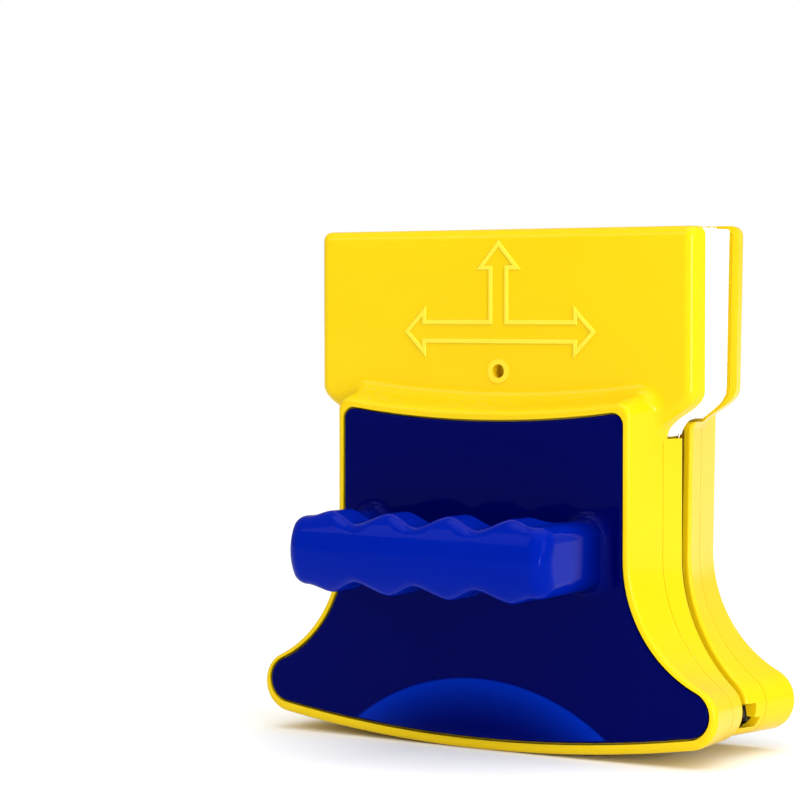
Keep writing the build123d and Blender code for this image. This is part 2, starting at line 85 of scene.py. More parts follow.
MM = 0.001
LEAN = math.radians(1.8)  # the rear half leans back by this about its foot
FOOT_OUT = 25.0 * MM  # from the parting plane out to that foot
BLOCK_OUT = 14.0 * MM  # from the parting plane out to a pad block's face
STEEP = 1.0  # radians between two faces that meet at a rim


class Half(Enum):
    """The two halves of the cleaner, by the prefix of their nodes."""

    FRONT = "front"
    REAR = "rear"


# --------------------------------------------------------------------------
# shader groups
# --------------------------------------------------------------------------


class Bench:
    """A node tree with short ways to add and join nodes."""

    def __init__(self, tree: Tree) -> None:
        """Take the tree to work on.

        Args:
            tree: a material's or a group's node tree.
        """
        self.tree = tree

    def add(self, kind: str, **settings: object) -> Node:
        """Add a node.

        Args:
            kind: node type without the ShaderNode prefix.
            settings: attributes of the node, or values of its inputs as in_NAME.

        Returns:
            The new node.
        """
        node = self.tree.nodes.new(f"ShaderNode{kind}")
        for key, value in settings.items():
            if key.startswith("in_"):
                node.inputs[key[3:].replace("_", " ")].default_value = value
            else:
                setattr(node, key, value)
        return node

    def join(self, source: Socket, target: Socket) -> None:
        """Link an output to an input."""
        self.tree.links.new(source, target)

    def maths(self, operation: str, *values: object, clamp: bool = False) -> Socket:
        """Add a Math node.

        Args:
            operation: the node's operation.
            values: its inputs, as sockets or numbers.
            clamp: keep the result between 0 and 1.

        Returns:
            The result socket.
        """
        node = self.add("Math", operation=operation, use_clamp=clamp)
        for place, value in enumerate(values):
            if isinstance(value, Socket):
                self.join(value, node.inputs[place])
            else:
                node.inputs[place].default_value = value
        return node.outputs[0]

    def spread(self, value: Socket, low: float, high: float, to: Pair = (0.0, 1.0)) -> Socket:
        """Stretch a value from low..high to a new range, clamped.

        Args:
            value: the input.
            low: input that gives the first end.
            high: input that gives the second end.
            to: both ends of the result.

        Returns:
            The result socket.
        """
        node = self.add("MapRange", clamp=True)
        self.join(value, node.inputs["Value"])
        for name, number in zip(("From Min", "From Max", "To Min", "To Max"), (low, high, *to)):
            node.inputs[name].default_value = number
        return node.outputs["Result"]

    def mix(self, share: object, first: object, second: object, blend: str = "MIX") -> Socket:
        """Mix two colours.

        Args:
            share: how much of the second one, a socket or a number.
            first: colour or socket.
            second: colour or socket.
            blend: blend type.

        Returns:
            The mixed colour.
        """
        node = self.add("Mix", data_type="RGBA", blend_type=blend)
        for socket, value in ((node.inputs[0], share), (node.inputs[6], first), (node.inputs[7], second)):
            if isinstance(value, Socket):
                self.join(value, socket)
            elif isinstance(value, tuple):
                socket.default_value = (*value[:3], 1.0)
            else:
                socket.default_value = value
        return node.outputs[2]


class Effect(Enum):
    """Surface effects that several finishes share."""

    FLOW = "mould_flow"
    WEAR = "edge_wear"
    SCRATCH = "fine_scratches"
    DUST = "settled_dust"
    NAP = "fibre_nap"


class EffectShelf:
    """Builds each shared effect once, as a node group."""

    def __init__(self) -> None:
        """Start with no group built."""
        self.made: dict[Effect, Tree] = {}

    def get(self, effect: Effect) -> Tree:
        """Give the group of an effect, built at its first use."""
        if effect not in self.made:
            self.made[effect] = getattr(self, f"build_{effect.value}")(effect.value)
        return self.made[effect]

    @staticmethod
    def blank(
        name: str, inputs: dict[str, tuple[str, object]], outputs: dict[str, str]
    ) -> tuple[Bench, Node, Node]:
        """Make an empty group with its sockets.

        Args:
            name: the group's name.
            inputs: socket name to type and default.
            outputs: socket name to type.

        Returns:
            The bench, the group's input node and its output node.
        """
        tree = bpy.data.node_groups.new(name, "ShaderNodeTree")
        for label, (kind, default) in inputs.items():
            socket = tree.interface.new_socket(label, in_out="INPUT", socket_type=kind)
            if default is not None:
                socket.default_value = default
        for label, kind in outputs.items():
            tree.interface.new_socket(label, in_out="OUTPUT", socket_type=kind)
        bench = Bench(tree)
        return bench, tree.nodes.new("NodeGroupInput"), tree.nodes.new("NodeGroupOutput")

    def build_mould_flow(self, name: str) -> Tree:
        """Slow shade changes of a moulding, and its faint orange-peel skin."""
        bench, given, out = self.blank(
            name,
            {
                "Vector": ("NodeSocketVector", None),
                "Colour": ("NodeSocketColor", (1.0, 1.0, 1.0, 1.0)),
                "Deep Colour": ("NodeSocketColor", (0.5, 0.5, 0.5, 1.0)),
                "Share": ("NodeSocketFloat", 0.3),
            },
            {"Colour": "NodeSocketColor", "Height": "NodeSocketFloat"},
        )
        stretch = bench.add("Mapping")
        stretch.inputs["Scale"].default_value = (14.0, 14.0, 26.0)
        bench.join(given.outputs["Vector"], stretch.inputs["Vector"])
        cloud = bench.add("TexNoise", in_Scale=1.0, in_Detail=3.0, in_Roughness=0.5, in_Distortion=0.6)
        bench.join(stretch.outputs[0], cloud.inputs["Vector"])
        share = bench.maths("MULTIPLY", bench.spread(cloud.outputs["Fac"], 0.35, 0.7), given.outputs["Share"])
        shade = bench.mix(share, given.outputs["Colour"], given.outputs["Deep Colour"])
        bench.join(shade, out.inputs["Colour"])
        peel = bench.add("TexNoise", in_Scale=420.0, in_Detail=2.0)
        bench.join(given.outputs["Vector"], peel.inputs["Vector"])
        bench.join(peel.outputs["Fac"], out.inputs["Height"])
        return bench.tree

    def build_edge_wear(self, name: str) -> Tree:
        """Mask that is strong where an edge is rounded off, broken up by noise."""
        bench, given, out = self.blank(
            name,
            {"Vector": ("NodeSocketVector", None), "Gain": ("NodeSocketFloat", 4.0)},
            {"Mask": "NodeSocketFloat"},
        )
        soft = bench.add("Bevel", samples=4, in_Radius=0.0011)
        surface = bench.add("NewGeometry")
        dot = bench.add("VectorMath", operation="DOT_PRODUCT")
        bench.join(soft.outputs[0], dot.inputs[0])
        bench.join(surface.outputs["Normal"], dot.inputs[1])
        turned = bench.maths("SUBTRACT", 1.0, dot.outputs["Value"])
        edge = bench.maths("MULTIPLY", turned, given.outputs["Gain"], clamp=True)
        patch = bench.add("TexNoise", in_Scale=160.0, in_Detail=4.0, in_Roughness=0.65)
        bench.join(given.outputs["Vector"], patch.inputs["Vector"])
        broken = bench.maths("MULTIPLY", edge, bench.spread(patch.outputs["Fac"], 0.38, 0.62))
        bench.join(broken, out.inputs["Mask"])
        return bench.tree

    def build_fine_scratches(self, name: str) -> Tree:
        """Hair scratches from handling, in two crossing directions."""
        bench, given, out = self.blank(
            name,
            {"Vector": ("NodeSocketVector", None), "Density": ("NodeSocketFloat", 0.5)},
            {"Mask": "NodeSocketFloat"},
        )
        total: Socket | None = None
        lengthwise = ((0.2, 0.5, 0.4), (900.0, 30.0, 30.0))
        crosswise = ((0.9, -0.6, 1.3), (40.0, 1100.0, 40.0))
        for turn, scale in (lengthwise, crosswise):
            place = bench.add("Mapping")
            place.inputs["Rotation"].default_value = turn
            place.inputs["Scale"].default_value = scale
            bench.join(given.outputs["Vector"], place.inputs["Vector"])
            hair = bench.add("TexNoise", in_Scale=1.0, in_Detail=2.0, in_Roughness=0.7)
            bench.join(place.outputs[0], hair.inputs["Vector"])
            line = bench.spread(hair.outputs["Fac"], 0.66, 0.74)
            total = line if total is None else bench.maths("MAXIMUM", total, line)
        bench.join(bench.maths("MULTIPLY", total, given.outputs["Density"]), out.inputs["Mask"])
        return bench.tree

    def build_settled_dust(self, name: str) -> Tree:
        """Specks and film that lie on surfaces that face up."""
        bench, given, out = self.blank(
            name,
            {"Vector": ("NodeSocketVector", None), "Share": ("NodeSocketFloat", 0.3)},
            {"Mask": "NodeSocketFloat"},
        )
        surface = bench.add("NewGeometry")
        split = bench.add("SeparateXYZ")
        bench.join(surface.outputs["Normal"], split.inputs[0])
        speck = bench.add("TexNoise", in_Scale=700.0, in_Detail=3.0, in_Roughness=0.7)
        film = bench.add("TexNoise", in_Scale=38.0, in_Detail=3.0)
        bench.join(given.outputs["Vector"], speck.inputs["Vector"])
        bench.join(given.outputs["Vector"], film.inputs["Vector"])
        up = bench.spread(split.outputs["Z"], 0.35, 0.95)
        specks = bench.spread(speck.outputs["Fac"], 0.5, 0.75)
        cover = bench.maths("MULTIPLY", specks, bench.spread(film.outputs["Fac"], 0.35, 0.7))
        settled = bench.maths("MULTIPLY", up, cover)
        bench.join(bench.maths("MULTIPLY", settled, given.outputs["Share"]), out.inputs["Mask"])
        return bench.tree

    def build_fibre_nap(self, name: str) -> Tree:
        """Short fibre tufts: their height and the shade between them."""
        bench, given, out = self.blank(
            name,
            {"Vector": ("NodeSocketVector", None), "Tuft Scale": ("NodeSocketFloat", 900.0)},
            {"Height": "NodeSocketFloat", "Shade": "NodeSocketFloat"},
        )
        tuft = bench.add("TexVoronoi", in_Randomness=0.9)
        bench.join(given.outputs["Vector"], tuft.inputs["Vector"])
        bench.join(given.outputs["Tuft Scale"], tuft.inputs["Scale"])
        fuzz = bench.add("TexNoise", in_Scale=2600.0, in_Detail=3.0, in_Roughness=0.7)
        bench.join(given.outputs["Vector"], fuzz.inputs["Vector"])
        round_top = bench.spread(tuft.outputs["Distance"], 0.0, 0.75, (1.0, 0.0))
        height = bench.maths("ADD", round_top, bench.maths("MULTIPLY", fuzz.outputs["Fac"], 0.45))
        bench.join(height, out.inputs["Height"])
        bench.join(bench.spread(height, 0.15, 0.9), out.inputs["Shade"])
        return bench.tree


SHELF = EffectShelf()


# --------------------------------------------------------------------------
# finishes
# --------------------------------------------------------------------------

EDGE_GAIN = 5.0  # how sharply the wear mask picks out a rounded edge
SCRATCH_DENSITY, SCRATCH_ROUGHNESS = 0.35, 0.25
DUST_COLOUR, DUST_ROUGHNESS = (0.75, 0.72, 0.66), 0.5
COAT_ROUGHNESS = 0.04
PEEL_STRENGTH, PEEL_HEIGHT = 0.05, 0.04 * MM


@dataclass(frozen=True)
class Finish:
    """A material with a name; each kind of finish adds its own nodes."""

    name: str

    def begin(self) -> tuple[bpy.types.Material, Bench, Node, Socket]:
        """Start the material.

        Returns:
            The material, its bench, its Principled shader and its Object coordinates.
        """
        material = bpy.data.materials.new(self.name)
        material.use_nodes = True
        bench = Bench(material.node_tree)
        shader = material.node_tree.nodes["Principled BSDF"]
        place = bench.add("TexCoord")
        return material, bench, shader, place.outputs["Object"]

    @staticmethod
    def effect(bench: Bench, effect: Effect, place: Socket, **values: object) -> Node:
        """Place a shared effect in a material.

        Args:
            bench: the material's bench.
            effect: which effect.
            place: coordinates for its pattern.
            values: its inputs, with _ for spaces.

        Returns:
            The group node.
        """
        node = bench.add("Group", node_tree=SHELF.get(effect))
        bench.join(place, node.inputs["Vector"])
        for key, value in values.items():
            given = (*value, 1.0) if isinstance(value, tuple) else value
            node.inputs[key.replace("_", " ")].default_value = given
        return node

    @staticmethod
    def bump(bench: Bench, shader: Node, height: Socket, strength: float, distance: float) -> None:
        """Feed a height to the shader's normal.

        Args:
            bench: the material's bench.
            shader: the Principled shader.
            height: the height map.
            strength: how much of it shows.
            distance: the real height of a full step, in metres.
        """
        node = bench.add("Bump", in_Strength=strength, in_Distance=distance)
        bench.join(height, node.inputs["Height"])
        bench.join(node.outputs[0], shader.inputs["Normal"])


@dataclass(frozen=True)
class MouldedPlastic(Finish):
    """Glossy injection-moulded plastic with faint handling marks, and where asked painted shade and painted
    highlights.

    Attributes:
        colour: main colour.
        deep: colour that it drifts to.
        worn: colour of rubbed edges.
        roughness: roughness of the clean skin.
        gloss: specular level.
        glint: tint of the reflection seen straight on.
        flow: how far the colour drifts.
        wear: how much rubbed edges show.
        dust: how much settled dust shows.
        coat: weight of the clear skin.
        raised: faces that carry raised lines, each an outward normal and a reach along it.
        raised_highlight: painted highlight colour of those lines.
        raised_above: height that the lines start at.
        panel_shade: painted shade, the dark navy next to the cover panel, if there is one.
        dome: painted highlight colour of the low dome at the panel's foot.
        dome_top: height of that dome.
        panel_y: place of the panel's face.
        panel_depth: over what depth the panel's painted shade turns into the main colour.
    """

    colour: Colour
    deep: Colour
    worn: Colour
    roughness: float
    gloss: float
    glint: Colour = (1.0, 1.0, 1.0)
    flow: float = 0.5
    wear: float = 0.35
    dust: float = 0.12
    coat: float = 0.0
    raised: tuple[tuple[Triple, float], ...] = ()
    raised_highlight: Colour = (0.8, 0.65, 0.04)
    raised_above: float = 105.0 * MM
    panel_shade: Colour | None = None
    dome: Colour = (0.0, 0.0, 0.0)
    dome_top: float = 21.3 * MM
    panel_y: float = 0.0
    panel_depth: float = 22.0 * MM

    def build(self) -> bpy.types.Material:
        """Make the material."""
        material, bench, shader, place = self.begin()
        flow = self.effect(
            bench, Effect.FLOW, place, Colour=self.colour, Deep_Colour=self.deep, Share=self.flow
        )
        colour = flow.outputs["Colour"]
        # Painted shade: the blue is painted dark navy at and behind the panel, fading to the main blue over
        # panel_depth towards the handle.
        if self.panel_shade is not None:
            split = bench.add("SeparateXYZ")
            bench.join(place, split.inputs[0])
            start = self.panel_y + 2.0 * MM
            depth = bench.spread(split.outputs["Y"], start, start - self.panel_depth)
            # The low dome gets a painted highlight.
            panel = bench.mix(self.dome_highlight_share(bench, split), self.panel_shade, self.dome)
            colour = bench.mix(depth, panel, colour)
        # Painted highlight: the raised lines on the pad blocks are painted paler, standing in for light
        # caught by their edges.
        for normal, reach in self.raised:
            colour = bench.mix(self.relief_highlight(bench, place, normal, reach), colour, self.raised_highlight)
        wear = self.effect(bench, Effect.WEAR, place, Gain=EDGE_GAIN)
        dust = self.effect(bench, Effect.DUST, place, Share=self.dust)
        scratch = self.effect(bench, Effect.SCRATCH, place, Density=SCRATCH_DENSITY)
        colour = bench.mix(bench.maths("MULTIPLY", wear.outputs["Mask"], self.wear), colour, self.worn)
        colour = bench.mix(dust.outputs["Mask"], colour, DUST_COLOUR)
        bench.join(colour, shader.inputs["Base Color"])
        scratched = bench.maths("MULTIPLY", scratch.outputs["Mask"], SCRATCH_ROUGHNESS)
        dusty = bench.maths("MULTIPLY", dust.outputs["Mask"], DUST_ROUGHNESS)
        rough = bench.maths("ADD", bench.maths("ADD", scratched, self.roughness), dusty, clamp=True)
        bench.join(rough, shader.inputs["Roughness"])
        shader.inputs["Specular IOR Level"].default_value = self.gloss
        shader.inputs["Specular Tint"].default_value = (*self.glint, 1.0)
        shader.inputs["Coat Weight"].default_value = self.coat
        shader.inputs["Coat Roughness"].default_value = COAT_ROUGHNESS
        self.bump(bench, shader, flow.outputs["Height"], PEEL_STRENGTH, PEEL_HEIGHT)
        return material

    def dome_highlight_share(self, bench: Bench, split: Node) -> Socket:
        """Painted highlight where the low dome rises out of the panel, fading as it rises.

        Args:
            bench: the material's bench.
            split: object coordinates, separated.

        Returns:
            How much of the painted highlight shows.
        """
        proud = bench.spread(split.outputs["Y"], self.panel_y - 0.02 * MM, self.panel_y - 0.1 * MM)
        fade = bench.spread(split.outputs["Y"], self.panel_y - 1.4 * MM, self.panel_y)
        low = bench.spread(split.outputs["Z"], self.dome_top, self.dome_top - 0.3 * MM)
        return bench.maths("MULTIPLY", bench.maths("MULTIPLY", proud, low), bench.maths("POWER", fade, 1.5))

    def relief_highlight(self, bench: Bench, place: Socket, normal: Triple, reach: float) -> Socket:
        """Mask of the raised lines on a pad block, which a painted highlight makes paler.

        Args:
            bench: the material's bench.
            place: object coordinates.
            normal: outward normal of the block's face.
            reach: distance of that face from the origin, along the normal.

        Returns:
            The mask.
        """
        dot = bench.add("VectorMath", operation="DOT_PRODUCT")
        bench.join(place, dot.inputs[0])
        dot.inputs[1].default_value = normal
        proud = bench.spread(dot.outputs["Value"], reach + 0.12 * MM, reach + 0.4 * MM)
        split = bench.add("SeparateXYZ")
        bench.join(place, split.inputs[0])
        high = bench.spread(split.outputs["Z"], self.raised_above, self.raised_above + 1.0 * MM)
        return bench.maths("MULTIPLY", proud, high)


@dataclass(frozen=True)
class BladeRubber(Finish):
    """Soft black rubber with a dull bloom."""

    colour: Colour = (0.012, 0.012, 0.013)
    bloom: Colour = (0.05, 0.05, 0.052)

    def build(self) -> bpy.types.Material:
        """Make the material."""
        material, bench, shader, place = self.begin()
        flow = self.effect(bench, Effect.FLOW, place, Colour=self.colour, Deep_Colour=self.bloom, Share=0.5)
        dust = self.effect(bench, Effect.DUST, place, Share=0.25)
        colour = bench.mix(dust.outputs["Mask"], flow.outputs["Colour"], (0.4, 0.39, 0.37))
        bench.join(colour, shader.inputs["Base Color"])
        bench.join(bench.spread(flow.outputs["Height"], 0.2, 0.8, (0.42, 0.6)), shader.inputs["Roughness"])
        self.bump(bench, shader, flow.outputs["Height"], 0.2, 0.00005)
        return material


@dataclass(frozen=True)
class NapCloth(Finish):
    """White fibre cloth with a short dense nap."""

    colour: Colour
    shade: Colour
    tuft: float = 900.0
    depth: float = 0.0003

    def build(self) -> bpy.types.Material:
        """Make the material."""
        material, bench, shader, place = self.begin()
        nap = self.effect(bench, Effect.NAP, place, Tuft_Scale=self.tuft)
        bench.join(bench.mix(nap.outputs["Shade"], self.shade, self.colour), shader.inputs["Base Color"])
        shader.inputs["Roughness"].default_value = 0.95
        shader.inputs["Sheen Weight"].default_value = 0.35
        shader.inputs["Sheen Roughness"].default_value = 0.5
        self.bump(bench, shader, nap.outputs["Height"], 0.7, self.depth)
        return material


@dataclass(frozen=True)
class OpenFoam(Finish):
    """White open-cell foam, with painted shade in its pores."""

    colour: Colour = (0.93, 0.93, 0.93)
    # painted shade: grey of the pore hollows
    pore_shade: Colour = (0.74, 0.74, 0.76)

    def build(self) -> bpy.types.Material:
        """Make the material."""
        material, bench, shader, place = self.begin()
        cell = bench.add("TexVoronoi", feature="SMOOTH_F1", in_Scale=1100.0, in_Randomness=1.0)
        bench.join(place, cell.inputs["Vector"])
        # painted shade, darker towards each pore's middle
        wall = bench.spread(cell.outputs["Distance"], 0.12, 0.5)
        bench.join(bench.mix(wall, self.pore_shade, self.colour), shader.inputs["Base Color"])
        shader.inputs["Roughness"].default_value = 0.9
        self.bump(bench, shader, wall, 0.8, 0.0003)
        return material


@dataclass(frozen=True)
class PlainMetal(Finish):
    """Ground or plated metal."""

    colour: Colour = (0.6, 0.6, 0.62)
    roughness: float = 0.3

    def build(self) -> bpy.types.Material:
        """Make the material."""
        material, bench, shader, place = self.begin()
        grain = bench.add("Mapping")
        grain.inputs["Scale"].default_value = (2500.0, 120.0, 120.0)
        bench.join(place, grain.inputs["Vector"])
        line = bench.add("TexNoise", in_Scale=1.0, in_Detail=3.0)
        bench.join(grain.outputs[0], line.inputs["Vector"])
        dark = tuple(0.8 * c for c in self.colour)
        bench.join(bench.mix(line.outputs["Fac"], dark, self.colour), shader.inputs["Base Color"])
        span = (self.roughness - 0.06, self.roughness + 0.08)
        bench.join(bench.spread(line.outputs["Fac"], 0.3, 0.7, span), shader.inputs["Roughness"])
        shader.inputs["Metallic"].default_value = 1.0
        self.bump(bench, shader, line.outputs["Fac"], 0.15, 0.00003)
        return material


@dataclass(frozen=True)
class StudioPaper(Finish):
    """Matt white paper of the studio floor."""

    colour: Colour = (0.97, 0.97, 0.97)

    def build(self) -> bpy.types.Material:
        """Make the material."""
        material, bench, shader, place = self.begin()
        tone = bench.add("TexNoise", in_Scale=3.0, in_Detail=2.0)
        bench.join(place, tone.inputs["Vector"])
        low = tuple(0.985 * c for c in self.colour)
        bench.join(bench.mix(tone.outputs["Fac"], low, self.colour), shader.inputs["Base Color"])
        shader.inputs["Roughness"].default_value = 0.9
        shader.inputs["Specular IOR Level"].default_value = 0.1
        return material


@dataclass
class Finishes:
    """Every finish of the cleaner, made once."""

    made: dict[str, bpy.types.Material] = field(default_factory=dict)

    def build(self, parting_y: float, panel_y: float) -> None:
        """Make the materials.

        Args:
            parting_y: place of the plane between the halves.
            panel_y: place of the cover panel's face.
        """
        tilted = (0.0, math.cos(LEAN), -math.sin(LEAN))
        rear_reach = parting_y * math.cos(LEAN) - FOOT_OUT * math.sin(LEAN) ** 2 + BLOCK_OUT
        kinds = (
            MouldedPlastic(
                "yellow_plastic",
                colour=(0.78, 0.54, 0.003),
                deep=(0.76, 0.51, 0.002),
                worn=(0.8, 0.64, 0.03),
                # the raised lines on these pad-block faces get a painted highlight
                raised=(((0.0, -1.0, 0.0), BLOCK_OUT - parting_y), (tilted, rear_reach)),
                roughness=0.2,
                gloss=0.12,
            ),
            MouldedPlastic(
                "blue_plastic",
                colour=(0.0, 0.011, 0.29),
                deep=(0.0, 0.005, 0.22),
                worn=(0.002, 0.025, 0.36),
                # painted shade: the panel's dark navy, against the handle's brighter blue
                panel_shade=(0.0, 0.0, 0.053),
                panel_y=panel_y,
                roughness=0.08,
                gloss=0.04,
                glint=(0.02, 0.06, 1.0),
                coat=0.03,
                # painted highlight on the low dome
                dome=(0.0, 0.022, 0.38),
                wear=0.1,
                dust=0.015,
            ),
            BladeRubber("blade_rubber"),
            NapCloth("pad_cloth", colour=(0.93, 0.93, 0.93), shade=(0.84, 0.84, 0.85)),
            NapCloth("hook_tape", colour=(0.85, 0.85, 0.85), shade=(0.6, 0.6, 0.6), tuft=520.0, depth=0.0005),
            OpenFoam("pad_foam"),
            PlainMetal("steel"),
            PlainMetal("magnet", colour=(0.75, 0.74, 0.7), roughness=0.16),
            StudioPaper("studio_paper"),
        )
        for kind in kinds:
            self.made[kind.name] = kind.build()

    def dress(self, piece: bpy.types.Object, name: str) -> None:
        """Give a piece one finish and its material slot's name.

        Args:
            piece: the object.
            name: the finish, named as the record's slot.
        """
        mesh = piece.data
        if len(mesh.materials):
            for place in range(len(mesh.materials)):
                mesh.materials[place] = self.made[name]
        else:
            mesh.materials.append(self.made[name])


# --------------------------------------------------------------------------
# mesh helpers
# --------------------------------------------------------------------------


def finish_mesh(name: str, work: MeshWork) -> bpy.types.Object:
    """Turn a bmesh into an object of the scene.

    Args:
        name: the piece's name.
        work: the finished bmesh; it is freed.

    Returns:
        The new object, at the origin and shaded smooth.
    """
    bmesh.ops.recalc_face_normals(work, faces=work.faces[:])
    mesh = bpy.data.meshes.new(name)
    work.to_mesh(mesh)
    work.free()
    for face in mesh.polygons:
        face.use_smooth = True
    piece = bpy.data.objects.new(name, mesh)
    bpy.context.scene.collection.objects.link(piece)
    return piece


@dataclass
class ShoulderLine:
    """Half-width of the pad block over its height, with its S-shaped shoulder."""

    wide: float
    narrow: float
    top_z: float = 104.0 * MM
    end_z: float = 90.5 * MM
    bend: float = 6.2 * MM
    halvings: int = 30

    def half_width(self, z: float) -> float:
        """Half-width at a height, found by halving on the shoulder's curve."""
        if z >= self.top_z:
            return self.wide
        if z <= self.end_z:
            return self.narrow
        low, high = 0.0, 1.0
        for _ in range(self.halvings):
            t = (low + high) / 2
            here = self.curve(t, self.top_z, self.top_z - self.bend, self.end_z + self.bend, self.end_z)
            low, high = (t, high) if here > z else (low, t)
        return self.curve(low, self.wide, self.wide, self.narrow, self.narrow)

    @staticmethod
    def curve(t: float, a: float, b: float, c: float, d: float) -> float:
        """Value of a cubic curve at t."""
        s = 1 - t
        return a * s**3 + 3 * b * s * s * t + 3 * c * s * t * t + d * t**3


@dataclass
class Pad:
    """One removable pad: a foam block with a sewn nap cloth over its wiping face.

    Attributes:
        half: the half that it belongs to.
        finishes: the finishes.
        shoulder: how much narrower the pad's foot is than its top, on each side.
        side_gap: from the CAD slice's sides in to the piece's.
        foam_grid: size of the foam's grid squares.
        foam_round: radius of the foam's edges.
        cloth_grid: size of the cloth's grid squares.
        cloth_round: radius of the cloth's rim.
        slow_wave: height of the nap's broad waves.
        quick_wave: height of its small tufts.
        hem_in: from the pad's sides in to the hem.
        seam_in: from the cloth's back in to the hem.
        stitch_pitch: from one stitch to the next.
        stitch: half-length and radii of a stitch.
    """

    half: Half
    finishes: Finishes
    shoulder: float = 10.1 * MM
    side_gap: float = 0.25 * MM
    foam_grid: float = 2.4 * MM
    foam_round: float = 0.5 * MM
    cloth_grid: float = 1.15 * MM
    cloth_round: float = 1.1 * MM
    slow_wave: float = 0.16 * MM
    quick_wave: float = 0.05 * MM
    hem_in: float = 0.45 * MM
    seam_in: float = 0.25 * MM
    stitch_pitch: float = 2.6 * MM
    stitch: Triple = (0.95 * MM, 0.2 * MM, 0.2 * MM)

    def outline(self, node: str) -> tuple[Vector, Vector, ShoulderLine]:
        """Corners of a CAD pad slice and its shoulder line."""
        low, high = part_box(node)
        return low, high, ShoulderLine(wide=high.x, narrow=high.x - self.shoulder)

    def slab(self, node: str, step: float, lean: float = 0.0) -> MeshWork:
        """Grid shaped to the pad's outline and extruded through its thickness.

        Args:
            node: the CAD slice that it fills.
            step: size of a grid square.
            lean: angle that the far side leans back by.

        Returns:
            A closed slab.
        """
        low, high, line = self.outline(node)
        inset = self.side_gap
        work = bmesh.new()
        columns = round(2 * line.wide / step)
        rows = round((high.z - low.z) / step)
        bmesh.ops.create_grid(work, x_segments=columns, y_segments=rows, size=0.5)
        bmesh.ops.rotate(work, verts=work.verts, cent=(0, 0, 0), matrix=Matrix.Rotation(math.pi / 2, 3, "X"))
        height = high.z - low.z - 2 * inset
        for vert in work.verts:
            z = low.z + inset + (vert.co.z + 0.5) * height
            vert.co = Vector((vert.co.x * 2 * (line.half_width(z) - inset), low.y, z))
        grown = bmesh.ops.extrude_face_region(work, geom=work.faces[:])
        moved = [v for v in grown["geom"] if isinstance(v, bmesh.types.BMVert)]
        bmesh.ops.translate(work, verts=moved, vec=(0, high.y - low.y, 0))
        for vert in moved:
            vert.co.y -= (high.z - vert.co.z) * math.tan(lean)
        bmesh.ops.recalc_face_normals(work, faces=work.faces[:])
        return work

    @staticmethod
    def round_rims(work: MeshWork, radius: float, segments: int) -> None:
        """Round the edges where two faces meet at a steep angle."""
        rims = [e for e in work.edges if len(e.link_faces) == 2 and e.calc_face_angle() > STEEP]
        bmesh.ops.bevel(
            work, geom=rims, offset=radius, segments=segments, profile=0.5, affect="EDGES", material=-1
        )

    def build_foam(self) -> bpy.types.Object:
        """Foam block with softened edges."""
        lean = LEAN if self.half is Half.REAR else 0.0
        work = self.slab(f"{self.half.value}_pad_core", self.foam_grid, lean)
        self.round_rims(work, self.foam_round, 2)
        return finish_mesh(f"{self.half.value}_pad_foam", work)

    def build_cloth(self) -> bpy.types.Object:
        """Cloth cover: a thin slab whose rim rolls over, with an uneven nap."""
        node = f"{self.half.value}_pad_face"
        low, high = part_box(node)
        work = self.slab(node, self.cloth_grid)
        self.round_rims(work, self.cloth_round, 4)
        bmesh.ops.triangulate(work, faces=[f for f in work.faces if len(f.verts) > 4])
        middle = (low.y + high.y) / 2
        glass = low.y if self.half is Half.REAR else high.y
        inward = 1.0 if self.half is Half.REAR else -1.0
        flat, side_reach, side_sink = 0.05 * MM, 1.3 * MM, 0.1 * MM
        for vert in work.verts:
            wave = self.nap_wave(vert.co)
            if abs(vert.co.y - glass) < flat:
                vert.co.y += inward * abs(wave)
            elif abs(vert.co.y - middle) < side_reach:
                out = Vector((vert.normal.x, 0, vert.normal.z))
                vert.co += out * (wave - side_sink)
        return finish_mesh(f"{self.half.value}_pad_cloth", work)

    def nap_wave(self, spot: Vector) -> float:
        """Unevenness of the nap at a place: broad waves and small tufts."""
        broad, small = noise.noise(spot * 160), noise.noise(spot * 900)
        return broad * self.slow_wave + small * self.quick_wave

    def build_hem(self) -> bpy.types.Object:
        """Sewn hem: one small thread stitch after another round the rim."""
        low, high, line = self.outline(f"{self.half.value}_pad_face")
        seam_y = high.y - self.seam_in if self.half is Half.REAR else low.y + self.seam_in
        path = self.rim_path(low, high, line)
        work = bmesh.new()
        for spot, along in self.spaced(path, self.stitch_pitch):
            side = along.cross(Vector((0, 1, 0))).normalized()
            frame = Matrix((along, side, Vector((0, 1, 0)))).transposed().to_4x4()
            made = bmesh.ops.create_uvsphere(work, u_segments=8, v_segments=6, radius=1.0)
            bmesh.ops.scale(work, verts=made["verts"], vec=self.stitch)
            set_down = Matrix.Translation((spot.x, seam_y, spot.z)) @ frame
            bmesh.ops.transform(work, verts=made["verts"], matrix=set_down)
        return finish_mesh(f"{self.half.value}_pad_stitches", work)

    def rim_path(self, low: Vector, high: Vector, line: ShoulderLine) -> list[Vector]:
        """Closed path round the pad, just inside its sides."""
        inset, steps = self.hem_in, 60
        levels = [low.z + inset + (high.z - low.z - 2 * inset) * i / steps for i in range(steps + 1)]
        right = [Vector((line.half_width(z) - inset, 0, z)) for z in levels]
        left = [Vector((-p.x, 0, p.z)) for p in reversed(right)]
        return [*right, *left, right[0]]

    @staticmethod
    def spaced(path: list[Vector], pitch: float) -> list[tuple[Vector, Vector]]:
        """Points at a steady pitch along a path, each with its direction."""
        found, carry = [], 0.0
        for start, end in zip(path, path[1:]):
            run = end - start
            while carry < run.length:
                found.append((start + run.normalized() * carry, run.normalized()))
                carry += pitch
            carry -= run.length
        return found

